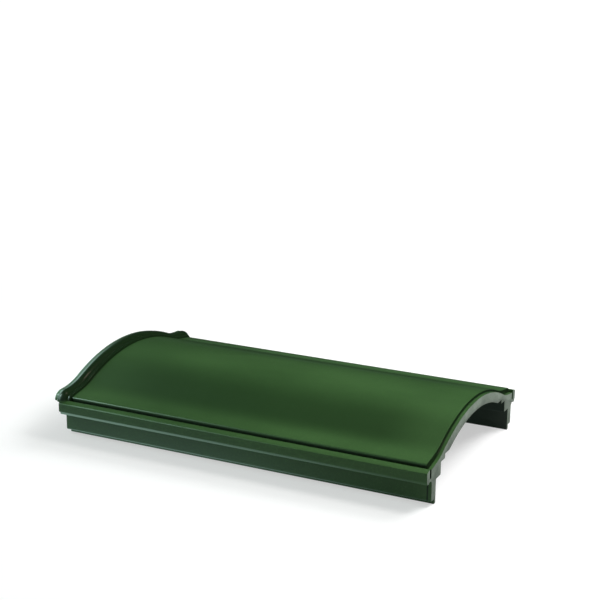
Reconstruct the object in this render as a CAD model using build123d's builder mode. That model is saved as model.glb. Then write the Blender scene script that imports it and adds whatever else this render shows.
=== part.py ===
from build123d import *
from dataclasses import dataclass
from math import cos, hypot, radians, sin, sqrt, tan
import os

# Wall coping stone: one piece of fired and glazed clay that caps a wall one brick thick.
# Millimetres. X runs along the wall, Y across it, Z is up.
# The origin is under the middle of the overall length, at the foot of the legs.

# Length and what a neighbour needs
body_length = 426.0          # butt end to butt end
collar_overhang = 8.0        # the collar reaches past the butt end by this much
landing_length = 4.4         # low end of the crown at the other end, for a neighbour's collar
landing_crest_drop = 1.9     # below the crown at the crest
landing_foot_drop = 4.9      # and at the foot
landing_slope = 9.8          # of its foot, degrees
landing_foot_length = 15.6
landing_flank_radius = 60.0
landing_edge_radius = 0.9    # upper edge of the crown's end wall
overlap_clearance = 1.0      # air between a collar and the landing that it covers

# The wall and the legs beside it
wall_width = 210.0
wall_clearance = 5.0         # each side
leg_thickness = 11.8
lip_thickness = 4.3          # thin lip at the foot of each leg, on the wall side
lip_height = 5.0
leg_chamfer = 1.2

# Underside: a seat, two steps and the arched hollow
seat_height = 24.9
seat_width = 12.5
first_step_rise = 13.3
first_step_width = 11.0
second_step_rise = 4.6
second_step_width = 12.5
hollow_rise = 15.6

# Crown: a crest arc, a hollow flank and a straight foot
crown_thickness = 12.8
foot_height = 44.4
foot_slope = 9.5             # degrees
foot_length = 18.0
flank_radius = 95.0
foot_set = 2.0               # the foot stands out past the leg's outer face
foot_edge_radius = 1.6

# Groove, rim strip and fascia beside the crown
groove_width = 3.8
groove_depth = 10.4          # below the rim strip's inner edge
rim_width = 7.4
rim_drop = 3.0               # of its inner edge below the crown's foot
rim_fall = 2.1
rim_edge_radius = 0.8
fascia_depth = 9.2
fascia_end_radius = 2.0      # lower corner at the collar end

# Soffit under the rim, with its drip
soffit_drop = 2.5            # below the fascia's lower edge
drip_depth = 1.2
drip_width = 2.8
drip_set = 2.6               # behind the fascia's face
drip_slope = 1.0
soffit_cove = 4.0            # quarter round between the soffit and the leg

# Collar: a low step over the crown, then the roll and a thin lip under one outline
# whose raised ends round over
step_reach = 9.5             # inside the butt end
step_rise = 2.4              # above the crown
step_lap = 0.4               # on to the rim strip
step_corner_radius = 6.5     # where its ends come down
step_edge_radius = 1.5
roll_reach = 6.5             # inside the butt end
roll_past = 6.5              # past the butt end
roll_rise = 5.4              # above the crown at the crest
roll_edge_radius = 2.0       # on the side of the lip
roll_shoulder_radius = 9.0   # on the side of the step
lip_drop = 2.6               # below the roll's top
collar_lip_radius = 1.1
knob_rise = 6.6              # the outline's ends above the crown's foot, before they round over
knob_slope = 0.6             # degrees
knob_flat = 0.7              # straight run between the flank and the rounded end
knob_flank_radius = 81.0
knob_radius = 13.0
knob_setback = 0.8           # inside the fascia's face

# Places worked out from the sizes
overall_length = body_length + collar_overhang
right_end = overall_length / 2
left_end = right_end - body_length
channel_half = wall_width / 2 + wall_clearance
leg_outer = channel_half + leg_thickness
lip_outer = channel_half + lip_thickness
seat_inner = channel_half - seat_width
first_inner = seat_inner - first_step_width
hollow_half = first_inner - second_step_width
first_height = seat_height + first_step_rise
second_height = first_height + second_step_rise
hollow_top = second_height + hollow_rise
crest_height = hollow_top + crown_thickness
crown_half = leg_outer + foot_set
groove_outer = crown_half + groove_width
fascia_face = groove_outer + rim_width
rim_top = foot_height - rim_drop
rim_outer_height = rim_top - rim_fall
rim_slope = rim_fall / rim_width
groove_floor = rim_top - groove_depth
fascia_bottom = rim_outer_height - fascia_depth
soffit_height = fascia_bottom - soffit_drop
drip_outer = fascia_face - drip_set
drip_inner = drip_outer - drip_width
drip_bottom = soffit_height - drip_depth
knob_end = fascia_face - knob_setback


@dataclass
class Arch:
    """An outline over the stone: a crest arc, then a hollow flank and a straight foot each side.

    Each foot ends at (half, foot) and falls at slope degrees. The crest arc's radius
    follows from the other sizes, because the flank has to meet it without a corner.
    """

    crest: float
    half: float
    foot: float
    slope: float
    foot_length: float
    flank_radius: float

    def draw(self, rise=0, setback=0):
        """Draw it raised square to itself and with its ends drawn in; return its right foot."""
        along, up = cos(radians(self.slope)), sin(radians(self.slope))
        # Centre of the flank's arc, square above the inner end of the foot
        flank_y = self.half - self.foot_length * along + self.flank_radius * up
        flank_z = self.foot + self.foot_length * up + self.flank_radius * along
        # The crest arc that meets it
        drop = self.crest - flank_z
        reach = self.flank_radius + drop
        crest_radius = (flank_y**2 + drop**2 - self.flank_radius**2) / (2 * reach)
        centre_z = self.crest - crest_radius
        share = (crest_radius + rise) / (crest_radius + self.flank_radius)
        joint_y, joint_z = flank_y * share, centre_z + (flank_z - centre_z) * share
        # The flank's lower end and its middle, which halves the turn
        bend = self.flank_radius - rise
        lower_y, lower_z = flank_y - bend * up, flank_z - bend * along
        span_y, span_z = joint_y + lower_y - 2 * flank_y, joint_z + lower_z - 2 * flank_z
        span = hypot(span_y, span_z)
        middle_y, middle_z = flank_y + bend * span_y / span, flank_z + bend * span_z / span
        # The foot, cut off where the outline ends
        end_y = self.half - setback
        end_z = lower_z - (end_y - lower_y) * up / along

        ThreePointArc((-joint_y, joint_z), (0, self.crest + rise), (joint_y, joint_z))
        for hand in (1, -1):
            ThreePointArc(
                (hand * joint_y, joint_z), (hand * middle_y, middle_z), (hand * lower_y, lower_z)
            )
            Line((hand * lower_y, lower_z), (hand * end_y, end_z))
        return end_y, end_z


crown_arch = Arch(crest_height, crown_half, foot_height, foot_slope, foot_length, flank_radius)
landing_arch = Arch(
    crest_height - landing_crest_drop,
    crown_half,
    foot_height - landing_foot_drop,
    landing_slope,
    landing_foot_length,
    landing_flank_radius,
)
collar_arch = Arch(
    crest_height + roll_rise,
    knob_end,
    foot_height + knob_rise,
    knob_slope,
    knob_flat + knob_radius,
    knob_flank_radius,
)


def rim_height(across):
    """Height of the rim strip's sloping top at a distance from the centre line."""
    return rim_top - (across - groove_outer) * rim_slope


def collar_plate(start, reach, arch, rise, spread, corner_radius, left_radius, right_radius):
    """Make a plate under an outline that is raised, and spread at its ends.

    It begins at start and runs for reach along X. Its two shoulders are rounded by
    corner_radius, and its upper edges by left_radius and right_radius where not 0.
    """
    with BuildPart() as plate:
        with BuildSketch(Plane.YZ.offset(start)) as outline:
            with BuildLine():
                end, end_height = arch.draw(rise, -spread)
                Polyline((end, end_height), (end, 0), (-end, 0), (-end, end_height))
            make_face()
            shoulders = outline.vertices().filter_by(lambda corner: abs(corner.Y) > end - 0.01)
            fillet(shoulders.filter_by(lambda corner: corner.Z > 1), corner_radius)
        extrude(amount=reach)
        sides = plate.faces().filter_by(Axis.X).sort_by(Axis.X)
        for side, edge_radius in ((sides[0], left_radius), (sides[-1], right_radius)):
            if edge_radius:
                fillet(side.edges().filter_by(lambda edge: edge.center().Z > 1), edge_radius)
    return plate.part


roll = collar_plate(
    left_end - roll_past,
    roll_reach + roll_past,
    collar_arch,
    0,
    0,
    knob_radius,
    roll_edge_radius,
    roll_shoulder_radius,
)
lip = collar_plate(
    left_end - collar_overhang,
    collar_overhang,
    collar_arch,
    -lip_drop,
    -lip_drop,
    knob_radius - lip_drop,
    collar_lip_radius,
    0,
)
step = collar_plate(
    left_end,
    step_reach,
    crown_arch,
    step_rise,
    groove_width + step_lap,
    step_corner_radius,
    0,
    step_edge_radius,
)

# Collar: the three together, hollowed to sit on the body and to clear a neighbour
with BuildPart() as collar:
    add(roll)
    add(lip)
    add(step)
    for start, reach, arch, rise, air in (
        (left_end, step_reach, crown_arch, -landing_crest_drop, 0),
        (
            left_end - collar_overhang,
            collar_overhang,
            landing_arch,
            overlap_clearance,
            overlap_clearance,
        ),
    ):
        with BuildSketch(Plane.YZ.offset(start)):
            with BuildLine():
                under = arch.draw(rise)
                for hand in (1, -1):
                    Polyline(
                        (hand * under[0], under[1]),
                        (hand * crown_half, rim_height(crown_half) + air),
                        (hand * fascia_face, rim_height(fascia_face) + air),
                        (hand * fascia_face, 0),
                        (0, 0),
                    )
            make_face()
        extrude(amount=reach, mode=Mode.SUBTRACT)

with BuildPart() as coping_stone:
    # Body: the whole cross section, run from one butt end to the other
    with BuildSketch(Plane.YZ.offset(left_end)) as section:
        with BuildLine() as outline:
            foot = crown_arch.draw()
            for side in (1, -1):
                Polyline(
                    (side * foot[0], foot[1]),
                    (side * crown_half, rim_height(crown_half)),
                    (side * fascia_face, rim_outer_height),
                    (side * fascia_face, fascia_bottom),
                    (side * drip_outer, drip_bottom),
                    (side * drip_inner, drip_bottom),
                    (side * (drip_inner - drip_slope), soffit_height),
                    (side * (leg_outer + soffit_cove), soffit_height),
                )
                ThreePointArc(
                    (side * (leg_outer + soffit_cove), soffit_height),
                    (
                        side * (leg_outer + soffit_cove * (1 - sqrt(0.5))),
                        soffit_height - soffit_cove * (1 - sqrt(0.5)),
                    ),
                    (side * leg_outer, soffit_height - soffit_cove),
                )
                Polyline(
                    (side * leg_outer, soffit_height - soffit_cove),
                    (side * leg_outer, lip_height + leg_chamfer),
                    (side * (leg_outer - leg_chamfer), lip_height),
                    (side * lip_outer, lip_height),
                    (side * lip_outer, 0),
                    (side * channel_half, 0),
                    (side * channel_half, seat_height),
                    (side * seat_inner, seat_height),
                    (side * seat_inner, first_height),
                    (side * first_inner, first_height),
                    (side * first_inner, second_height),
                    (side * hollow_half, second_height),
                )
            ThreePointArc(
                (-hollow_half, second_height), (0, hollow_top), (hollow_half, second_height)
            )
        make_face()
    extrude(amount=body_length)

    # Lower corners of the two fascias at the collar end
    collar_end = faces().sort_by(Axis.X)[0]
    fascia_corners = collar_end.edges().filter_by(
        lambda edge: abs(edge.center().Y) > drip_outer and edge.center().Z < fascia_bottom
    )
    fillet(fascia_corners, fascia_end_radius)

    # Landing for a neighbour's collar at the right butt end
    with BuildSketch(Plane.YZ.offset(right_end - landing_length)):
        with BuildLine():
            low = landing_arch.draw()
            Polyline(
                low,
                (crown_half, crest_height + landing_foot_drop),
                (-crown_half, crest_height + landing_foot_drop),
                (-low[0], low[1]),
            )
        make_face()
    extrude(amount=landing_length, mode=Mode.SUBTRACT)

    # Groove between the crown and each rim strip, up to the collar's step
    groove_length = body_length - step_reach
    with BuildSketch(Plane.YZ.offset(right_end - groove_length)):
        for side in (1, -1):
            with Locations((side * (crown_half + groove_width / 2), groove_floor)):
                Rectangle(groove_width, crest_height, align=(Align.CENTER, Align.MIN))
    extrude(amount=groove_length, mode=Mode.SUBTRACT)

    # Soft edges along the crown's foot and the rim strips, and over the landing
    foot_edges = edges().filter_by(Axis.X).filter_by(
        lambda edge: abs(abs(edge.center().Y) - crown_half) < 0.01
        and abs(edge.center().Z - foot_height) < 0.01
    )
    fillet(foot_edges, foot_edge_radius)
    rim_edges = edges().filter_by(Axis.X).filter_by(
        lambda edge: abs(abs(edge.center().Y) - fascia_face) < 0.01
        and abs(edge.center().Z - rim_outer_height) < 0.01
    )
    fillet(rim_edges, rim_edge_radius)
    end_wall = faces().filter_by(
        lambda face: abs(face.center().X - (right_end - landing_length)) < 0.01
    )
    end_wall_top = end_wall.edges().filter_by(
        lambda edge: edge.center().Z > foot_height - foot_edge_radius and not edge.is_interior
    )
    fillet(end_wall_top, landing_edge_radius)

    # The collar over the other butt end
    add(collar.part)

coping_stone.part.label = "coping_stone"
os.makedirs("parts", exist_ok=True)
export_step(coping_stone.part, "parts/coping_stone.step")
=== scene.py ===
"""A wall coping stone in dark green glaze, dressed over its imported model.

Lengths are in metres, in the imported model's own frame: X along the wall, Y across it, Z up.
"""

import logging
import math
from collections.abc import Callable
from dataclasses import dataclass
from enum import Enum

import bpy
from mathutils import Matrix, Vector


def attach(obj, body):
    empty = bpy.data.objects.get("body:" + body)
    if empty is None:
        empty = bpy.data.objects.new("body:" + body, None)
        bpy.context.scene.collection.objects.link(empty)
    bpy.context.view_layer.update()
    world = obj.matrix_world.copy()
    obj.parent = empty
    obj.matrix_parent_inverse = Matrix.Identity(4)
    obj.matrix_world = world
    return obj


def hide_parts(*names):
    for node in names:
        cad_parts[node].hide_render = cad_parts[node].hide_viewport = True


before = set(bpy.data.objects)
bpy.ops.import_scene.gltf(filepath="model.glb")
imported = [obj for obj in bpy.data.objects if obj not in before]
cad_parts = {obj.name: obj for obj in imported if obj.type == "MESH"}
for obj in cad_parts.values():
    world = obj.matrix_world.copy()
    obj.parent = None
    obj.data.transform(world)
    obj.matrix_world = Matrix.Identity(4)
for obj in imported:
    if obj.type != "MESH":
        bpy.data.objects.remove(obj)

MM = 0.001
HAIR = 0.01 * MM  # closer than this, two places are one
log = logging.getLogger("coping")

Colour = tuple[float, float, float]
Place = tuple[float, float, float]
Point = tuple[float, float]
Span = tuple[float, float]


# Modelling as by hand


def deselect_all() -> None:
    """Leave object mode's selection empty, because an operator acts on all that is selected."""
    if bpy.context.object and bpy.context.object.mode != "OBJECT":
        bpy.ops.object.mode_set(mode="OBJECT")
    bpy.ops.object.select_all(action="DESELECT")


def make_active(piece: bpy.types.Object) -> None:
    """Select one piece alone and make it active.

    Args:
        piece: The object to work on.
    """
    deselect_all()
    piece.select_set(True)
    bpy.context.view_layer.objects.active = piece


class Picker:
    """Selects parts of a piece's mesh by their place, and leaves it in edit mode."""

    def __init__(self, piece: bpy.types.Object) -> None:
        """Take the piece to pick from.

        Args:
            piece: The object whose mesh is selected in.
        """
        self.piece = piece

    def _pick(self, kind: str, items: str, wanted: Callable[[object], bool]) -> int:
        """Select the items that are wanted.

        Args:
            kind: Selection mode: VERT, EDGE or FACE.
            items: Name of the mesh's list of such items.
            wanted: Test that an item passes.

        Returns:
            How many were selected.
        """
        make_active(self.piece)
        bpy.ops.object.mode_set(mode="EDIT")
        bpy.ops.mesh.select_mode(type=kind)
        bpy.ops.mesh.select_all(action="DESELECT")
        bpy.ops.object.mode_set(mode="OBJECT")
        count = 0
        for item in getattr(self.piece.data, items):
            if wanted(item):
                item.select = True
                count += 1
        bpy.ops.object.mode_set(mode="EDIT")
        return count

    def points(self, wanted: Callable[[Vector], bool]) -> int:
        """Select the points whose place passes the test, and count them."""
        return self._pick("VERT", "vertices", lambda point: wanted(point.co))

    def edges(self, wanted: Callable[[Vector, Vector], bool]) -> int:
        """Select the edges whose two ends pass the test.

        Args:
            wanted: Test of the two ends.

        Returns:
            How many were selected.
        """
        places = self.piece.data.vertices

        def both(edge: bpy.types.MeshEdge) -> bool:
            """Whether an edge's two ends pass."""
            first, second = edge.vertices
            return wanted(places[first].co, places[second].co)

        return self._pick("EDGE", "edges", both)

    def faces(self, wanted: Callable[[Vector, Vector], bool]) -> int:
        """Select the faces whose centre and normal pass the test, and count them."""
        return self._pick("FACE", "polygons", lambda face: wanted(face.center, face.normal))

    def round_edges(
        self, wanted: Callable[[Vector, Vector], bool], rounding: float, steps: int
    ) -> None:
        """Round the edges whose two ends pass the test, and go back to object mode.

        Args:
            wanted: Test of the two ends.
            rounding: How far from the edge the rounding starts.
            steps: How many faces it has.
        """
        self.edges(wanted)
        bpy.ops.mesh.bevel(offset=rounding, segments=steps, affect="EDGES", clamp_overlap=False)
        bpy.ops.object.mode_set(mode="OBJECT")


class Pen:
    """Draws the right half of an outline across the wall, one edge after another."""

    def __init__(self, name: str, x: float, start: Point) -> None:
        """Put the pen down.

        Args:
            name: Name of the piece that is drawn.
            x: Where along the wall the outline lies.
            start: First point, across and up.
        """
        self.x = x
        self.place = start
        deselect_all()
        bpy.ops.mesh.primitive_plane_add(size=MM, location=(x, *start))
        self.piece = bpy.context.object
        self.piece.name = name
        bpy.ops.object.transform_apply(location=True, rotation=True, scale=True)
        bpy.ops.object.mode_set(mode="EDIT")
        bpy.ops.mesh.select_mode(type="VERT")
        bpy.ops.mesh.select_all(action="SELECT")
        bpy.ops.mesh.merge(type="CENTER")

    def line(self, *stops: Point) -> None:
        """Draw straight to each stop in turn.

        Args:
            stops: Points, across and up.
        """
        for stop in stops:
            step = (0.0, stop[0] - self.place[0], stop[1] - self.place[1])
            bpy.ops.mesh.extrude_vertices_move(TRANSFORM_OT_translate={"value": step})
            self.place = stop

    def arc(self, centre: Point, end: Point, steps: int) -> None:
        """Draw an arc the short way round its centre.

        Args:
            centre: Centre, across and up.
            end: Where the arc ends.
            steps: How many edges it has.
        """
        before = math.atan2(self.place[1] - centre[1], self.place[0] - centre[0])
        after = math.atan2(end[1] - centre[1], end[0] - centre[0])
        turn = (before - after + math.pi) % math.tau - math.pi
        bpy.ops.mesh.spin(steps=steps, angle=turn, center=(self.x, *centre), axis=(1.0, 0.0, 0.0))
        self.place = end

    def close(self, corners: dict[Point, tuple[float, int]], reach: float) -> bpy.types.Object:
        """Mirror the half outline, fill it, round its corners and run it along the wall.

        Args:
            corners: How far back from each of these points its rounding starts, and its steps.
            reach: Length along X.

        Returns:
            The closed solid.
        """
        bpy.ops.object.mode_set(mode="OBJECT")
        mirror = self.piece.modifiers.new("other half", "MIRROR")
        mirror.use_axis = (False, True, False)
        mirror.merge_threshold = HAIR
        bpy.ops.object.modifier_apply(modifier=mirror.name)
        bpy.ops.object.mode_set(mode="EDIT")
        bpy.ops.mesh.select_all(action="SELECT")
        bpy.ops.mesh.remove_doubles(threshold=HAIR)
        bpy.ops.mesh.edge_face_add()
        for (across, up), (setback, steps) in corners.items():
            Picker(self.piece).points(
                lambda place: math.hypot(abs(place.y) - across, place.z - up) < 2 * HAIR
            )
            bpy.ops.mesh.bevel(offset=setback, segments=steps, affect="VERTICES")
        bpy.ops.mesh.select_mode(type="FACE")
        bpy.ops.mesh.select_all(action="SELECT")
        bpy.ops.mesh.extrude_region_move(TRANSFORM_OT_translate={"value": (reach, 0.0, 0.0)})
        bpy.ops.mesh.select_all(action="SELECT")
        bpy.ops.mesh.normals_make_consistent(inside=False)
        bpy.ops.object.mode_set(mode="OBJECT")
        return self.piece


class Joining(Enum):
    """How one solid meets another."""

    ADD = "UNION"
    CUT = "DIFFERENCE"


def combine(piece: bpy.types.Object, tool: bpy.types.Object, joining: Joining) -> None:
    """Add a solid to a piece or cut it away, and delete the solid.

    Args:
        piece: The piece that stays.
        tool: The solid that is used up.
        joining: Whether it is added or cut away.
    """
    make_active(piece)
    change = piece.modifiers.new(joining.name, "BOOLEAN")
    change.operation = joining.value
    change.solver = "EXACT"
    change.object = tool
    bpy.ops.object.modifier_apply(modifier=change.name)
    mesh = tool.data
    bpy.data.objects.remove(tool)
    bpy.data.meshes.remove(mesh)


# The stone's sections


@dataclass(frozen=True)
class Arch:
    """An outline over the stone: a crest arc, a hollow flank and a straight foot each side."""

    crest: float
    half: float
    foot: float
    slope: float
    foot_length: float
    flank_radius: float
    crest_steps: int = 30
    flank_steps: int = 12

    def trace(self, name: str, x: float, rise: float = 0.0, setback: float = 0.0) -> Pen:
        """Draw the right half, from crest to foot.

        Args:
            name: Name of the piece that is drawn.
            x: Where along the wall it lies.
            rise: How far the outline is raised square to itself.
            setback: How far its end is drawn in.

        Returns:
            The pen, at the end of the foot.
        """
        along, up = math.cos(self.slope), math.sin(self.slope)
        flank = (
            self.half - self.foot_length * along + self.flank_radius * up,
            self.foot + self.foot_length * up + self.flank_radius * along,
        )
        drop = self.crest - flank[1]
        reach = self.flank_radius + drop
        radius = (flank[0] ** 2 + drop**2 - self.flank_radius**2) / (2 * reach)
        centre = (0.0, self.crest - radius)
        share = (radius + rise) / (radius + self.flank_radius)
        joint = (flank[0] * share, centre[1] + (flank[1] - centre[1]) * share)
        bend = self.flank_radius - rise
        lower = (flank[0] - bend * up, flank[1] - bend * along)
        end = self.half - setback
        pen = Pen(name, x, (0.0, self.crest + rise))
        pen.arc(centre, joint, self.crest_steps)
        pen.arc(flank, lower, self.flank_steps)
        pen.line((end, lower[1] - (end - lower[0]) * up / along))
        return pen


@dataclass(frozen=True)
class Rim:
    """The groove beside the crown, and the rim strip, fascia and drip outside it."""

    groove_inner: float = 123.8 * MM
    groove_outer: float = 127.6 * MM
    groove_floor: float = 31.0 * MM
    face: float = 135.0 * MM
    top: float = 41.4 * MM
    fall: float = 2.1 * MM
    fascia_bottom: float = 30.1 * MM
    soffit: float = 27.6 * MM
    drip_bottom: float = 26.4 * MM
    drip_outer: float = 132.4 * MM
    drip_inner: float = 129.6 * MM
    drip_slope: float = 1.0 * MM

    def height(self, across: float) -> float:
        """Height of the strip's sloping top at a distance from the middle."""
        share = (across - self.groove_outer) / (self.face - self.groove_outer)
        return self.top - self.fall * share


@dataclass(frozen=True)
class Underside:
    """The legs, the seats on the wall, the two steps and the arched hollow."""

    leg_outer: float = 121.8 * MM
    cove: float = 4.0 * MM
    cove_steps: int = 6
    chamfer: float = 1.2 * MM
    lip_height: float = 5.0 * MM
    lip_outer: float = 114.3 * MM
    channel_half: float = 110.0 * MM
    seat_height: float = 24.9 * MM
    seat_inner: float = 97.5 * MM
    first_height: float = 38.2 * MM
    first_inner: float = 86.5 * MM
    second_height: float = 42.8 * MM
    hollow_half: float = 74.0 * MM
    hollow_top: float = 58.4 * MM
    hollow_steps: int = 24


LEFT_END = -209.0 * MM
CROWN = Arch(
    crest=71.2 * MM,
    half=123.8 * MM,
    foot=44.4 * MM,
    slope=math.radians(9.5),
    foot_length=18 * MM,
    flank_radius=95 * MM,
)
LANDING = Arch(
    crest=69.3 * MM,
    half=123.8 * MM,
    foot=39.5 * MM,
    slope=math.radians(9.8),
    foot_length=15.6 * MM,
    flank_radius=60 * MM,
)
COLLAR = Arch(
    crest=76.6 * MM,
    half=134.2 * MM,
    foot=51 * MM,
    slope=math.radians(0.6),
    foot_length=13.7 * MM,
    flank_radius=81 * MM,
)


# The collar


@dataclass(frozen=True)
class Plate:
    """One of the collar's three plates, under an outline that is raised and spread."""

    name: str
    start: float
    end: float
    arch: Arch
    rise: float
    spread: float
    corner: float
    left_rounding: float
    right_rounding: float


@dataclass(frozen=True)
class Collar:
    """The raised end: a roll, a lip and a step, with a ball over each groove."""

    butt: float = LEFT_END
    crown: Arch = CROWN
    landing: Arch = LANDING
    rim: Rim = Rim()
    plates: tuple[Plate, ...] = (
        Plate(
            name="roll",
            start=-213.6 * MM,
            end=-202.2 * MM,
            arch=COLLAR,
            rise=0.0,
            spread=0.0,
            corner=13 * MM,
            left_rounding=3.8 * MM,
            right_rounding=6.4 * MM,
        ),
        Plate(
            name="lip",
            start=-217 * MM,
            end=-206.5 * MM,
            arch=COLLAR,
            rise=-0.5 * MM,
            spread=-2 * MM,
            corner=11 * MM,
            left_rounding=2.6 * MM,
            right_rounding=0.0,
        ),
        Plate(
            name="step",
            start=-209 * MM,
            end=-199.5 * MM,
            arch=CROWN,
            rise=2.4 * MM,
            spread=4.2 * MM,
            corner=6.5 * MM,
            left_rounding=0.0,
            right_rounding=1.5 * MM,
        ),
    )
    plate_foot: float = 20 * MM
    corner_steps: int = 12
    left_steps: int = 5
    right_steps: int = 9
    ball_along: float = -207.8 * MM
    ball_across: float = 123.4 * MM
    ball_height: float = 39.4 * MM
    ball_size: Place = (7.0 * MM, 10.0 * MM, 10.6 * MM)
    ball_segments: int = 40
    ball_rings: int = 20
    clearance: float = 1.0 * MM
    cut_side: float = 137 * MM
    cut_bottom: float = 10 * MM
    overhang_reach: float = 16 * MM
    overhang_length: float = 16.02 * MM
    seat_reach: float = 0.5 * MM
    seat_length: float = 20 * MM
    seat_depth: float = 2 * MM

    def build(self) -> bpy.types.Object:
        """Join the plates and the balls, and hollow them for a neighbour and for the body.

        Returns:
            The collar, ready to be added to the body.
        """
        collar, *others = [self._plate(plate) for plate in self.plates]
        others += [self._ball(hand) for hand in (-1, 1)]
        for other in others:
            combine(collar, other, Joining.ADD)
        combine(collar, self._overhang(), Joining.CUT)
        combine(collar, self._seat(), Joining.CUT)
        return collar

    def _plate(self, plate: Plate) -> bpy.types.Object:
        """Make a plate, with its shoulders and its upper edges rounded.

        Args:
            plate: Its outline and its sizes.

        Returns:
            The plate.
        """
        pen = plate.arch.trace(plate.name, plate.start, plate.rise, -plate.spread)
        shoulder = pen.place
        pen.line((shoulder[0], self.plate_foot), (0.0, self.plate_foot))
        setback = plate.corner / math.tan((math.pi / 2 + plate.arch.slope) / 2)
        piece = pen.close({shoulder: (setback, self.corner_steps)}, plate.end - plate.start)
        self._round_side(piece, plate.start, plate.left_rounding, self.left_steps)
        self._round_side(piece, plate.end, plate.right_rounding, self.right_steps)
        return piece

    def _round_side(
        self, piece: bpy.types.Object, side: float, rounding: float, steps: int
    ) -> None:
        """Round a plate's upper edge on one side, unless its rounding is nothing.

        Args:
            piece: The plate.
            side: Where that side is along the wall.
            rounding: How far from the edge the rounding starts.
            steps: How many faces it has.
        """
        if not rounding:
            return
        Picker(piece).round_edges(
            lambda first, second: abs(first.x - side) < HAIR
            and abs(second.x - side) < HAIR
            and first.z + second.z > 2 * self.plate_foot + 1 * MM,
            rounding,
            steps,
        )

    def _ball(self, hand: int) -> bpy.types.Object:
        """Make the ball that ends the roll over a groove.

        Args:
            hand: -1 for the front groove and 1 for the back one.

        Returns:
            The ball.
        """
        deselect_all()
        bpy.ops.mesh.primitive_uv_sphere_add(
            segments=self.ball_segments,
            ring_count=self.ball_rings,
            radius=1.0,
            location=(self.ball_along, hand * self.ball_across, self.ball_height),
            scale=self.ball_size,
        )
        ball = bpy.context.object
        bpy.ops.object.transform_apply(location=True, rotation=True, scale=True)
        return ball

    def _overhang(self) -> bpy.types.Object:
        """Make the room under the collar for a neighbour's landing and rim strips.

        Returns:
            The solid to cut away.
        """
        rim = self.rim
        pen = self.landing.trace("overhang", self.butt - self.overhang_reach, rise=self.clearance)
        pen.line(
            (rim.groove_inner, rim.height(rim.groove_inner) + self.clearance),
            (self.cut_side, rim.height(self.cut_side) + self.clearance),
            (self.cut_side, self.cut_bottom),
            (0.0, self.cut_bottom),
        )
        return pen.close({}, self.overhang_length)

    def _seat(self) -> bpy.types.Object:
        """Make the room for the stone's own body, into which the collar stays sunk.

        Returns:
            The solid to cut away.
        """
        rim, sunk = self.rim, self.seat_depth
        pen = self.crown.trace("seat", self.butt - self.seat_reach, rise=-sunk, setback=sunk)
        pen.line(
            (rim.groove_inner - sunk, rim.groove_floor - sunk),
            (rim.groove_outer + sunk, rim.groove_floor - sunk),
            (rim.groove_outer + sunk, rim.height(rim.groove_outer + sunk) - sunk),
            (self.cut_side, rim.height(self.cut_side) - sunk),
            (self.cut_side, self.cut_bottom),
            (0.0, self.cut_bottom),
        )
        return pen.close({}, self.seat_length)


# The whole stone


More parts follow.
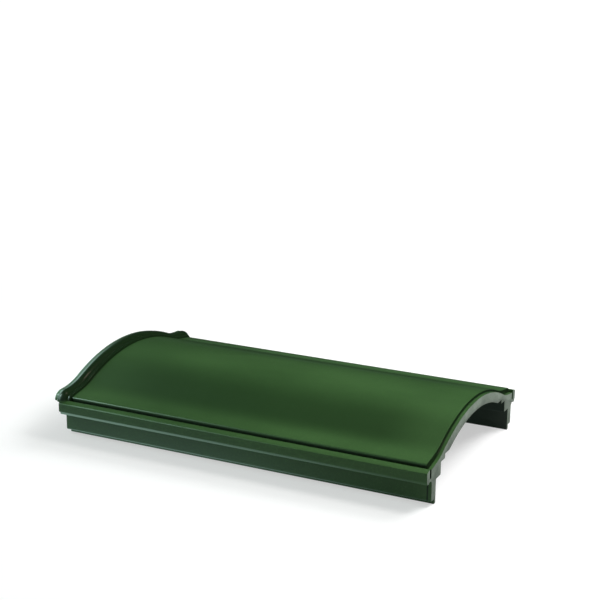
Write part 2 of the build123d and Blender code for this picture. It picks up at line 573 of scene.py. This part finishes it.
@dataclass(frozen=True)
class CopingStone:
    """The whole stone, fired as one piece: its body, its landing and its collar."""

    right_end: float = 217.0 * MM
    left_end: float = LEFT_END
    crown: Arch = CROWN
    landing: Arch = LANDING
    landing_length: float = 4.4 * MM
    landing_past: float = 1.9 * MM
    landing_bow: float = 1.2
    cut_top: float = 90 * MM
    crown_rounding: float = 0.9 * MM
    fascia_rounding: float = 2 * MM
    end_rounding: float = 0.3 * MM
    merge_below: float = 0.002 * MM
    smooth_below: float = math.radians(32)
    rim: Rim = Rim()
    under: Underside = Underside()
    collar: Collar = Collar()

    def build(self) -> bpy.types.Object:
        """Make the body, cut its landing and add its collar.

        Returns:
            The finished stone, without its finishes.
        """
        stone = self._body()
        self._cut_landing(stone)
        self._soften_ends(stone)
        combine(stone, self.collar.build(), Joining.ADD)
        make_active(stone)
        bpy.ops.object.mode_set(mode="EDIT")
        bpy.ops.mesh.select_all(action="SELECT")
        bpy.ops.mesh.remove_doubles(threshold=self.merge_below)
        bpy.ops.object.mode_set(mode="OBJECT")
        bpy.ops.object.shade_smooth_by_angle(angle=self.smooth_below, keep_sharp_edges=False)
        return stone

    def _body(self) -> bpy.types.Object:
        """Run the whole cross section from one butt end to the other.

        Returns:
            The body, without landing and collar.
        """
        rim, under = self.rim, self.under
        pen = self.crown.trace("coping", self.left_end)
        foot = pen.place
        pen.line(
            (rim.groove_inner, rim.groove_floor),
            (rim.groove_outer, rim.groove_floor),
            (rim.groove_outer, rim.top),
            (rim.face, rim.top - rim.fall),
            (rim.face, rim.fascia_bottom),
            (rim.drip_outer, rim.drip_bottom),
            (rim.drip_inner, rim.drip_bottom),
            (rim.drip_inner - rim.drip_slope, rim.soffit),
            (under.leg_outer + under.cove, rim.soffit),
        )
        pen.arc(
            (under.leg_outer + under.cove, rim.soffit - under.cove),
            (under.leg_outer, rim.soffit - under.cove),
            under.cove_steps,
        )
        pen.line(
            (under.leg_outer, under.lip_height + under.chamfer),
            (under.leg_outer - under.chamfer, under.lip_height),
            (under.lip_outer, under.lip_height),
            (under.lip_outer, 0.0),
            (under.channel_half, 0.0),
            (under.channel_half, under.seat_height),
            (under.seat_inner, under.seat_height),
            (under.seat_inner, under.first_height),
            (under.first_inner, under.first_height),
            (under.first_inner, under.second_height),
            (under.hollow_half, under.second_height),
        )
        rise = under.hollow_top - under.second_height
        radius = (under.hollow_half**2 + rise**2) / (2 * rise)
        pen.arc((0.0, under.hollow_top - radius), (0.0, under.hollow_top), under.hollow_steps)
        # How far back each corner's rounding starts, and how many steps it has
        roundings = {
            foot: (1.36 * MM, 4),
            (rim.groove_inner, rim.groove_floor): (0.7 * MM, 2),
            (rim.groove_outer, rim.groove_floor): (0.7 * MM, 2),
            (rim.groove_outer, rim.top): (0.5 * MM, 3),
            (rim.face, rim.top - rim.fall): (0.4 * MM, 3),
            (rim.face, rim.fascia_bottom): (0.5 * MM, 3),
            (rim.drip_outer, rim.drip_bottom): (0.5 * MM, 3),
            (rim.drip_inner, rim.drip_bottom): (0.4 * MM, 2),
            (under.leg_outer, under.lip_height + under.chamfer): (0.5 * MM, 2),
            (under.leg_outer - under.chamfer, under.lip_height): (0.5 * MM, 2),
            (under.lip_outer, under.lip_height): (0.5 * MM, 2),
            (under.lip_outer, 0.0): (0.6 * MM, 3),
            (under.channel_half, 0.0): (0.6 * MM, 3),
            (under.channel_half, under.seat_height): (0.8 * MM, 3),
            (under.seat_inner, under.seat_height): (0.7 * MM, 3),
            (under.seat_inner, under.first_height): (0.8 * MM, 3),
            (under.first_inner, under.first_height): (0.7 * MM, 3),
            (under.first_inner, under.second_height): (0.8 * MM, 3),
            (under.hollow_half, under.second_height): (1.2 * MM, 3),
        }
        return pen.close(roundings, self.right_end - self.left_end)

    def _cut_landing(self, stone: bpy.types.Object) -> None:
        """Cut the low landing at the plain end, and round the crown's edge above it.

        Args:
            stone: The body.
        """
        wall = self.right_end - self.landing_length
        pen = self.landing.trace("landing", wall, setback=-self.landing_past)
        pen.line((pen.place[0], self.cut_top), (0.0, self.cut_top))
        combine(stone, pen.close({}, 3 * self.landing_length), Joining.CUT)

        def on_wall_top(first: Vector, second: Vector) -> bool:
            """Whether an edge is on the landing's end wall, at its top.

            Args:
                first: One end of the edge.
                second: Its other end.

            Returns:
                True for such an edge.
            """
            return all(
                abs(end.x - wall) < HAIR
                and end.z > self._landing_height(abs(end.y)) + 1.2 * MM
                and abs(end.y) < self.crown.half + 0.1 * MM
                and end.z > self.crown.foot - 2 * MM
                for end in (first, second)
            )

        Picker(stone).round_edges(on_wall_top, self.crown_rounding, 3)

    def _landing_height(self, across: float) -> float:
        """Roughly how high the landing is at a distance from the middle."""
        share = (across / self.crown.half) ** self.landing_bow
        return self.landing.crest - (self.landing.crest - self.landing.foot) * share

    def _soften_ends(self, stone: bpy.types.Object) -> None:
        """Round the fascias' lower corners at the collar end, and ease both butt ends' edges.

        Args:
            stone: The body.
        """
        Picker(stone).round_edges(
            lambda first, second: all(
                abs(end.x - self.left_end) < HAIR
                and abs(end.y) > self.rim.drip_outer
                and end.z < self.rim.fascia_bottom
                for end in (first, second)
            ),
            self.fascia_rounding,
            5,
        )
        for butt in (self.right_end, self.left_end):
            Picker(stone).round_edges(
                lambda first, second: abs(first.x - butt) < HAIR and abs(second.x - butt) < HAIR,
                self.end_rounding,
                2,
            )


# Finishes


class Wire:
    """A socket whose value takes part in sums written in Python."""

    def __init__(self, recipe: "Recipe", socket: bpy.types.NodeSocket) -> None:
        """Wrap an output.

        Args:
            recipe: The material that the output belongs to.
            socket: The output.
        """
        self.recipe = recipe
        self.socket = socket

    def _sum(self, operation: str, first: "Wire | float", second: "Wire | float") -> "Wire":
        """Add a Math node for one operation."""
        return self.recipe.node("ShaderNodeMath", {"operation": operation}, {0: first, 1: second})

    def __add__(self, other: "Wire | float") -> "Wire":
        """Sum of the two."""
        return self._sum("ADD", self, other)

    __radd__ = __add__

    def __sub__(self, other: "Wire | float") -> "Wire":
        """This less the other."""
        return self._sum("SUBTRACT", self, other)

    def __rsub__(self, other: "Wire | float") -> "Wire":
        """The other less this."""
        return self._sum("SUBTRACT", other, self)

    def __mul__(self, other: "Wire | float") -> "Wire":
        """Product of the two."""
        return self._sum("MULTIPLY", self, other)

    __rmul__ = __mul__

    def __abs__(self) -> "Wire":
        """Size of the value without its sign."""
        return self._sum("ABSOLUTE", self, 0.0)

    def between(self, low: float, high: float) -> "Wire":
        """Share of the way from one value to another, smoothed and kept between 0 and 1.

        Args:
            low: Where the share is 0.
            high: Where it is 1.

        Returns:
            The share.
        """
        return self.recipe.node(
            "ShaderNodeMapRange",
            {"interpolation_type": "SMOOTHSTEP"},
            {"Value": self, "From Min": low, "From Max": high},
        )

    def inside(self, start: Span, end: Span) -> "Wire":
        """1 within a band that fades in over its start and out over its end, and 0 outside."""
        return self.between(*start) * (1.0 - self.between(*end))


class Recipe:
    """The nodes of a material or of the world, added one by one."""

    def __init__(self, owner: bpy.types.Material | bpy.types.World) -> None:
        """Start with no nodes.

        Args:
            owner: The material or the world.
        """
        owner.use_nodes = True
        self.owner = owner
        self.tree = owner.node_tree
        self.tree.nodes.clear()

    def node(
        self,
        kind: str,
        settings: dict[str, object] | None = None,
        sockets: dict[str | int, object] | None = None,
        output: str | int = 0,
    ) -> Wire:
        """Add any node.

        Args:
            kind: The node's type.
            settings: Its own settings, such as a Math node's operation.
            sockets: Values or wires for its inputs.
            output: Which output is wanted.

        Returns:
            The wanted output.
        """
        made = self.tree.nodes.new(kind)
        for name, value in (settings or {}).items():
            setattr(made, name, value)
        for key, value in (sockets or {}).items():
            if isinstance(value, Wire):
                self.tree.links.new(value.socket, made.inputs[key])
            else:
                made.inputs[key].default_value = value
        return Wire(self, made.outputs[output])

    def place(self, kind: str = "Object") -> Wire:
        """Where a point is on the stone, or in the world the way a ray runs, as Generated."""
        return self.node("ShaderNodeTexCoord", output=kind)

    def part(self, axis: str, kind: str = "Object") -> Wire:
        """One coordinate of that place: X, Y or Z."""
        return self.node("ShaderNodeSeparateXYZ", {}, {0: self.place(kind)}, axis)

    def noise(self, scale: float, detail: float = 2.0, stretch: Place = (1, 1, 1)) -> Wire:
        """Smooth unevenness between 0 and 1.

        Args:
            scale: Lumps to the metre.
            detail: How much finer unevenness is added.
            stretch: How many times closer the lumps lie along each axis.

        Returns:
            The value.
        """
        place = self.node("ShaderNodeMapping", {}, {"Vector": self.place(), "Scale": stretch})
        return self.node(
            "ShaderNodeTexNoise", {}, {"Vector": place, "Scale": scale, "Detail": detail}
        )

    def mix(self, share: Wire | float, first: object, second: object) -> Wire:
        """Mix two colours.

        Args:
            share: How much of the second.
            first: First colour or wire.
            second: Second colour or wire.

        Returns:
            The mixed colour.
        """
        colours = [value if isinstance(value, Wire) else (*value, 1.0) for value in (first, second)]
        return self.node(
            "ShaderNodeMix",
            {"data_type": "RGBA"},
            {0: share, 6: colours[0], 7: colours[1]},
            output=2,
        )

    def bump(self, height: Wire, distance: float) -> Wire:
        """Turn a height between 0 and 1 into relief of a distance in metres."""
        return self.node("ShaderNodeBump", {}, {"Height": height, "Distance": distance})

    def background(self) -> Wire:
        """Whether a ray shows the background: straight, mirrored or through glass.

        Returns:
            1 for such a ray, and 0 for the others.
        """
        kinds = ("Is Camera Ray", "Is Glossy Ray", "Is Transmission Ray")
        straight, mirrored, through = (
            self.node("ShaderNodeLightPath", output=kind) for kind in kinds
        )
        return straight + mirrored + through

    def finish(self, shader: Wire, kind: str) -> bpy.types.Material | bpy.types.World:
        """Lead a shader to the output.

        Args:
            shader: The last shader.
            kind: The output node's type.

        Returns:
            The material or the world.
        """
        result = self.tree.nodes.new(kind)
        self.tree.links.new(shader.socket, result.inputs["Surface"])
        return self.owner

    def surface(self, sockets: dict[str, object]) -> bpy.types.Material:
        """Finish a material as one solid surface."""
        shader = self.node("ShaderNodeBsdfPrincipled", {}, sockets)
        return self.finish(shader, "ShaderNodeOutputMaterial")


@dataclass(frozen=True)
class GreenGlaze:
    """Dark green glaze, with painted shade on the steep flanks, in the grooves and in the landing's
    corner, and darker over the collar.

    Each span is the length over which a mask fades in or out.
    """

    deep: Colour = (0.030, 0.076, 0.022)
    bright: Colour = (0.056, 0.132, 0.040)
    # Painted shade: the colour that the steep flanks are darkened towards
    flank: Colour = (0.016, 0.044, 0.012)
    # Darkest colour: painted shade in the grooves and in the landing's corner, and darker over the
    # collar
    painted_shade_and_collar_dark: Colour = (0.005, 0.015, 0.004)
    sheen: float = 0.38
    specular: float = 0.35
    coat: float = 0.6
    coat_roughness: float = 0.07
    relief: float = 0.08 * MM
    flank_shade_share: float = 0.85
    flank_top: Span = (20 * MM, 68 * MM)
    flank_foot: Span = (88 * MM, 116 * MM)
    to_plain_end: Span = (140 * MM, 210 * MM)
    from_collar: Span = (-205 * MM, -110 * MM)
    collar_share: float = 0.93
    roll_start: Span = (-213.2 * MM, -212.2 * MM)
    step_end: Span = (-199.5 * MM, -197.0 * MM)
    over_rim: Span = (41 * MM, 43 * MM)
    # How much painted shade goes into the grooves and into the landing's corner
    painted_shade_share: float = 0.97
    groove_inner: Span = (123.1 * MM, 123.7 * MM)
    groove_outer: Span = (127 * MM, 128 * MM)
    groove_floor: Span = (29 * MM, 30 * MM)
    groove_top: Span = (41.6 * MM, 43.4 * MM)
    landing_wall: Span = (211.9 * MM, 212.3 * MM)
    landing_floor: Span = (213.2 * MM, 214.0 * MM)
    crown_side: Span = (123.8 * MM, 124.3 * MM)

    def material(self) -> bpy.types.Material:
        """Make the glaze.

        Returns:
            The material.
        """
        recipe = Recipe(bpy.data.materials.new("green_glaze"))
        clouds = recipe.noise(scale=9.0, detail=3.0, stretch=(0.5, 1.0, 1.0))
        flecks = recipe.noise(scale=420.0, detail=3.0)
        ripple = recipe.noise(scale=38.0, stretch=(0.6, 1.0, 1.0))
        skin = recipe.noise(scale=900.0)
        along, across, up = recipe.part("X"), abs(recipe.part("Y")), recipe.part("Z")
        share = clouds.between(0.3, 0.7) * 0.6 + flecks.between(0.45, 0.75) * 0.3
        colour = recipe.mix(share, self.deep, self.bright)
        # Painted shade on the steep flanks
        colour = recipe.mix(self.flank_shade_share * self._flank_shade(along, across), colour, self.flank)
        # Painted shade in the grooves and in the landing's corner, and darker over the collar
        colour = recipe.mix(self._shade_and_collar(along, across, up), colour, self.painted_shade_and_collar_dark)
        return recipe.surface(
            {
                "Base Color": colour,
                "Roughness": self.sheen + 0.1 * flecks.between(0.4, 0.8),
                "IOR": 1.5,
                "Specular IOR Level": self.specular,
                "Coat Weight": self.coat,
                "Coat Roughness": self.coat_roughness,
                "Normal": recipe.bump(ripple * 0.85 + skin * 0.15, self.relief),
            }
        )

    def _flank_shade(self, along: Wire, across: Wire) -> Wire:
        """Mask of the painted shade on the steep flanks, weaker towards both ends of the stone.

        Args:
            along: Place along the wall.
            across: Distance from the middle.

        Returns:
            The mask.
        """
        steep = across.inside(self.flank_top, self.flank_foot)
        steep = steep * (1.0 - 0.6 * along.between(*self.to_plain_end))
        return steep * (0.5 + 0.5 * along.between(*self.from_collar))

    def _shade_and_collar(self, along: Wire, across: Wire, up: Wire) -> Wire:
        """Mask of the darkening: painted shade in the grooves and in the landing's corner, and
        darker over the collar.

        Args:
            along: Place along the wall.
            across: Distance from the middle.
            up: Height.

        Returns:
            The mask.
        """
        # Darker over the collar
        on_collar = along.inside(self.roll_start, self.step_end) * up.between(*self.over_rim)
        # Painted shade down in the grooves and in the landing's corner, where shade falls
        groove_shade = across.inside(self.groove_inner, self.groove_outer)
        groove_shade = groove_shade * up.inside(self.groove_floor, self.groove_top)
        landing_shade = along.inside(self.landing_wall, self.landing_floor)
        landing_shade = landing_shade * (1.0 - across.between(*self.crown_side))
        return self.collar_share * on_collar + self.painted_shade_share * (groove_shade + landing_shade)


@dataclass(frozen=True)
class BareClay:
    """Fired clay where no glaze was laid, with a matt grey-green bloom."""

    pale: Colour = (0.25, 0.30, 0.25)
    dark: Colour = (0.15, 0.185, 0.15)
    relief: float = 0.15 * MM

    def material(self) -> bpy.types.Material:
        """Make the bare clay.

        Returns:
            The material.
        """
        recipe = Recipe(bpy.data.materials.new("bare_clay"))
        bloom = recipe.noise(scale=60.0, detail=4.0)
        grain = recipe.noise(scale=1500.0, detail=3.0)
        grog = recipe.node(
            "ShaderNodeTexVoronoi", {}, {"Vector": recipe.place(), "Scale": 700.0}, "Distance"
        )
        share = bloom.between(0.35, 0.65) * 0.5 + grain.between(0.4, 0.7) * 0.5
        return recipe.surface(
            {
                "Base Color": recipe.mix(share, self.dark, self.pale),
                "Roughness": 0.75 + 0.15 * grain,
                "Normal": recipe.bump(grain * 0.6 + grog * 0.4, self.relief),
            }
        )


@dataclass(frozen=True)
class PaintedShadeUnder:
    """Painted shade under the stone: a near-black dull surface in streaks, whose relief shows the
    clay's grain.
    """

    # Painted shade: near black, and less dark in streaks
    dark: Colour = (0.011, 0.019, 0.011)
    less_dark: Colour = (0.034, 0.046, 0.033)
    relief: float = 0.2 * MM

    def material(self) -> bpy.types.Material:
        """Make the painted shade under the stone.

        Returns:
            The material.
        """
        recipe = Recipe(bpy.data.materials.new("painted_shade_under"))
        # Streaks in the painted shade
        runs = recipe.noise(scale=26.0, detail=4.0, stretch=(0.3, 1.0, 1.0))
        grain = recipe.noise(scale=1100.0, detail=3.0)
        share = runs.between(0.4, 0.7) * 0.7 + grain.between(0.5, 0.75) * 0.3
        return recipe.surface(
            {
                "Base Color": recipe.mix(share, self.dark, self.less_dark),
                "Roughness": 0.5 + 0.3 * share,
                "Normal": recipe.bump(grain * 0.7 + runs * 0.3, self.relief),
            }
        )


class Coat(Enum):
    """The finishes, in the order of the stone's material slots."""

    GLAZE = 0
    BARE = 1
    # Painted shade under the stone
    SHADE_UNDER = 2


class Dresser:
    """Gives the stone's faces their finishes."""

    def __init__(self, stone: CopingStone) -> None:
        """Take the stone's sizes.

        Args:
            stone: Where its ends and its hollow are.
        """
        self.stone = stone

    def dress(self, piece: bpy.types.Object) -> None:
        """Put glaze all over, bare clay on the butt ends and painted shade under the stone.

        Args:
            piece: The finished stone.
        """
        piece.data.materials.clear()
        for finish in (GreenGlaze(), BareClay(), PaintedShadeUnder()):
            piece.data.materials.append(finish.material())
        for coat, wanted in ((Coat.BARE, self._is_butt), (Coat.SHADE_UNDER, self._is_under)):
            count = Picker(piece).faces(wanted)
            piece.active_material_index = coat.value
            bpy.ops.object.material_slot_assign()
            bpy.ops.object.mode_set(mode="OBJECT")
            log.info("%s: %s on %d faces", piece.name, coat.name, count)

    def _is_butt(self, centre: Vector, normal: Vector) -> bool:
        """Whether a face is on a butt end.

        Args:
            centre: The face's centre.
            normal: Which way it looks.

        Returns:
            True for such a face.
        """
        plain = centre.x > self.stone.right_end - 2 * HAIR and normal.x > 0.99
        other = abs(centre.x - self.stone.left_end) < 10 * HAIR and normal.x < -0.99
        return plain or other

    def _is_under(self, centre: Vector, normal: Vector) -> bool:
        """Whether a face looks into the hollow or the channel.

        Args:
            centre: The face's centre.
            normal: Which way it looks.

        Returns:
            True for such a face.
        """
        under = self.stone.under
        inside = abs(centre.y) < under.channel_half + 0.5 * MM
        low = centre.z < under.hollow_top + 2 * HAIR and normal.z < 0.2
        return inside and low and abs(normal.x) < 0.9


# Studio


@dataclass(frozen=True)
class Softbox:
    """A soft square lamp aimed at a point."""

    name: str
    place: Place
    aim: Place
    size: tuple[float, float]
    power: float
    tint: Colour
    in_gloss: bool

    def hang(self) -> None:
        """Put the lamp in the scene."""
        deselect_all()
        bpy.ops.object.light_add(type="AREA", location=self.place)
        lamp = bpy.context.object
        lamp.name = self.name
        lamp.data.shape = "RECTANGLE"
        lamp.data.size, lamp.data.size_y = self.size
        lamp.data.energy = self.power
        lamp.data.color = self.tint
        lamp.visible_glossy = self.in_gloss
        aim = Vector(self.aim) - Vector(self.place)
        lamp.rotation_euler = aim.to_track_quat("-Z", "Y").to_euler()


@dataclass(frozen=True)
class Floor:
    """A pale floor that shows white in the picture, keeps the shadow and stays out of gloss."""

    size: float = 24.0
    drop: float = 0.05 * MM
    glow_span: Span = (0.5, 3.0)
    near_glow: Colour = (0.52, 0.52, 0.52)
    far_glow: Colour = (0.95, 0.95, 0.95)
    dim: Colour = (0.48, 0.48, 0.48)
    pale: Colour = (0.52, 0.52, 0.52)

    def lay(self) -> None:
        """Put the floor in the scene."""
        deselect_all()
        bpy.ops.mesh.primitive_plane_add(size=self.size, location=(0.0, 0.0, -self.drop))
        floor = bpy.context.object
        floor.name = "floor"
        bpy.ops.object.transform_apply(location=True, rotation=True, scale=True)
        recipe = Recipe(bpy.data.materials.new("pale_floor"))
        far = recipe.node("ShaderNodeVectorMath", {"operation": "LENGTH"}, {0: recipe.place()}, 1)
        glow = recipe.mix(far.between(*self.glow_span), self.near_glow, self.far_glow)
        floor.visible_glossy = False
        floor.data.materials.append(
            recipe.surface(
                {
                    "Base Color": recipe.mix(recipe.noise(scale=3.0), self.dim, self.pale),
                    "Roughness": 0.9,
                    "Emission Color": recipe.mix(recipe.background(), (0.0, 0.0, 0.0), glow),
                    "Emission Strength": 1.0,
                }
            )
        )


@dataclass(frozen=True)
class Room:
    """An even light, a white background, and for gloss a dim room with a pale left and front.

    Each span is the part of a ray's direction, left, front or down, over which a panel fades.
    """

    light: float = 0.24
    plain: Colour = (1.0, 1.0, 1.0)
    gloss_tint: Colour = (0.64, 1.0, 0.86)
    dark: float = 0.015
    leftish: Span = (0.25, 0.6)
    wall: float = 0.12
    wall_at_left: float = 0.2
    wall_front: Span = (0.0, 0.5)
    ground: float = 1.2
    ground_down: Span = (0.4, 0.75)
    ground_left: Span = (0.0, 0.6)
    horizon: float = 0.07
    horizon_down: Span = (0.0, 0.05)
    horizon_front: Span = (-0.9, -0.5)
    horizon_left: Span = (0.4, 0.62)
    side_panel: float = 3.6
    side_left: Span = (0.62, 0.82)
    side_front: Span = (-0.25, 0.1)
    side_down: Span = (0.15, 0.4)
    front_panel: float = 3.0
    front_front: Span = (0.05, 0.25)
    front_down: Span = (-0.4, -0.15)

    def build(self) -> None:
        """Make the world."""
        world = bpy.data.worlds.new("studio")
        bpy.context.scene.world = world
        recipe = Recipe(world)
        mirrored = recipe.node("ShaderNodeLightPath", output="Is Glossy Ray")
        room, white, walls = (
            recipe.node("ShaderNodeBackground", {}, {"Color": (*tint, 1.0), "Strength": strength})
            for tint, strength in (
                (self.plain, self.light),
                (self.plain, 1.0),
                (self.gloss_tint, self._gloss(recipe)),
            )
        )
        lit = recipe.node("ShaderNodeMixShader", {}, {0: recipe.background(), 1: room, 2: white})
        shown = recipe.node("ShaderNodeMixShader", {}, {0: mirrored, 1: lit, 2: walls})
        recipe.finish(shown, "ShaderNodeOutputWorld")

    def _gloss(self, recipe: Recipe) -> Wire:
        """How bright the room is for gloss.

        Args:
            recipe: The world's nodes.

        Returns:
            The strength, by a ray's direction.
        """
        left, front, down = (-1.0 * recipe.part(axis, "Generated") for axis in ("X", "Y", "Z"))
        leftish = left.between(*self.leftish)
        wall = front.between(*self.wall_front) * (self.wall + self.wall_at_left * leftish)
        ground = self.ground * down.between(*self.ground_down) * left.between(*self.ground_left)
        horizon = self.horizon * (1.0 - abs(down).between(*self.horizon_down))
        horizon = horizon * (1.0 - front.between(*self.horizon_front))
        horizon = horizon * (1.0 - left.between(*self.horizon_left))
        side = self.side_panel * left.between(*self.side_left)
        side = side * (1.0 - front.between(*self.side_front))
        side = side * (1.0 - down.between(*self.side_down))
        before = self.front_panel * leftish * front.between(*self.front_front)
        before = before * (1.0 - down.between(*self.front_down))
        return self.dark + side + before + wall + ground + horizon


@dataclass(frozen=True)
class Viewpoint:
    """Where the camera stands, and how it is turned."""

    place: Place = (0.6494, -1.289, 0.558)
    heading: float = math.radians(26.22)
    tilt: float = math.radians(15.82)
    roll: float = math.radians(0.37)
    lens: float = 83.42
    sensor: float = 36.0

    def stand(self) -> None:
        """Stand the camera where the photograph was taken from."""
        deselect_all()
        bpy.ops.object.camera_add(location=self.place)
        camera = bpy.context.object
        camera.name = "camera"
        turned = (
            Matrix.Rotation(self.heading, 4, "Z")
            @ Matrix.Rotation(math.pi / 2 - self.tilt, 4, "X")
            @ Matrix.Rotation(self.roll, 4, "Z")
        )
        camera.rotation_euler = turned.to_euler()
        camera.data.lens = self.lens
        camera.data.sensor_width = self.sensor
        bpy.context.scene.camera = camera


@dataclass(frozen=True)
class Studio:
    """The floor, the room, the lamps and the camera."""

    floor: Floor = Floor()
    room: Room = Room()
    viewpoint: Viewpoint = Viewpoint()
    lamps: tuple[Softbox, ...] = (
        Softbox(
            name="key",
            place=(-1.6, -1.1, 1.9),
            aim=(0, 0, 0.05),
            size=(0.7, 0.7),
            power=11.0,
            tint=(0.72, 1, 0.96),
            in_gloss=True,
        ),
        Softbox(
            name="glint",
            place=(0.55, 0.3, 1.5),
            aim=(-0.2, 0, 0.05),
            size=(0.3, 0.3),
            power=1.1,
            tint=(1, 0.86, 0.7),
            in_gloss=True,
        ),
        Softbox(
            name="back",
            place=(0.9, 2.1, 1.8),
            aim=(0, 0, 0.05),
            size=(2.0, 1.4),
            power=80.0,
            tint=(1, 1, 1),
            in_gloss=False,
        ),
        Softbox(
            name="end",
            place=(0.62, 0.2, 0.95),
            aim=(0.2, 0, 0.05),
            size=(0.4, 0.4),
            power=6.0,
            tint=(1, 1, 1),
            in_gloss=False,
        ),
    )

    def build(self) -> None:
        """Make the whole studio."""
        self.floor.lay()
        self.room.build()
        for lamp in self.lamps:
            lamp.hang()
        self.viewpoint.stand()
        bpy.context.scene.view_settings.view_transform = "Standard"


def main() -> None:
    """Build the stone and its studio."""
    logging.basicConfig(level=logging.INFO)
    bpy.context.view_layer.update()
    stone = CopingStone()
    coping = stone.build()
    Dresser(stone).dress(coping)
    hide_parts("coping_stone")
    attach(coping, "root")
    Studio().build()


if __name__ == "__main__":
    main()
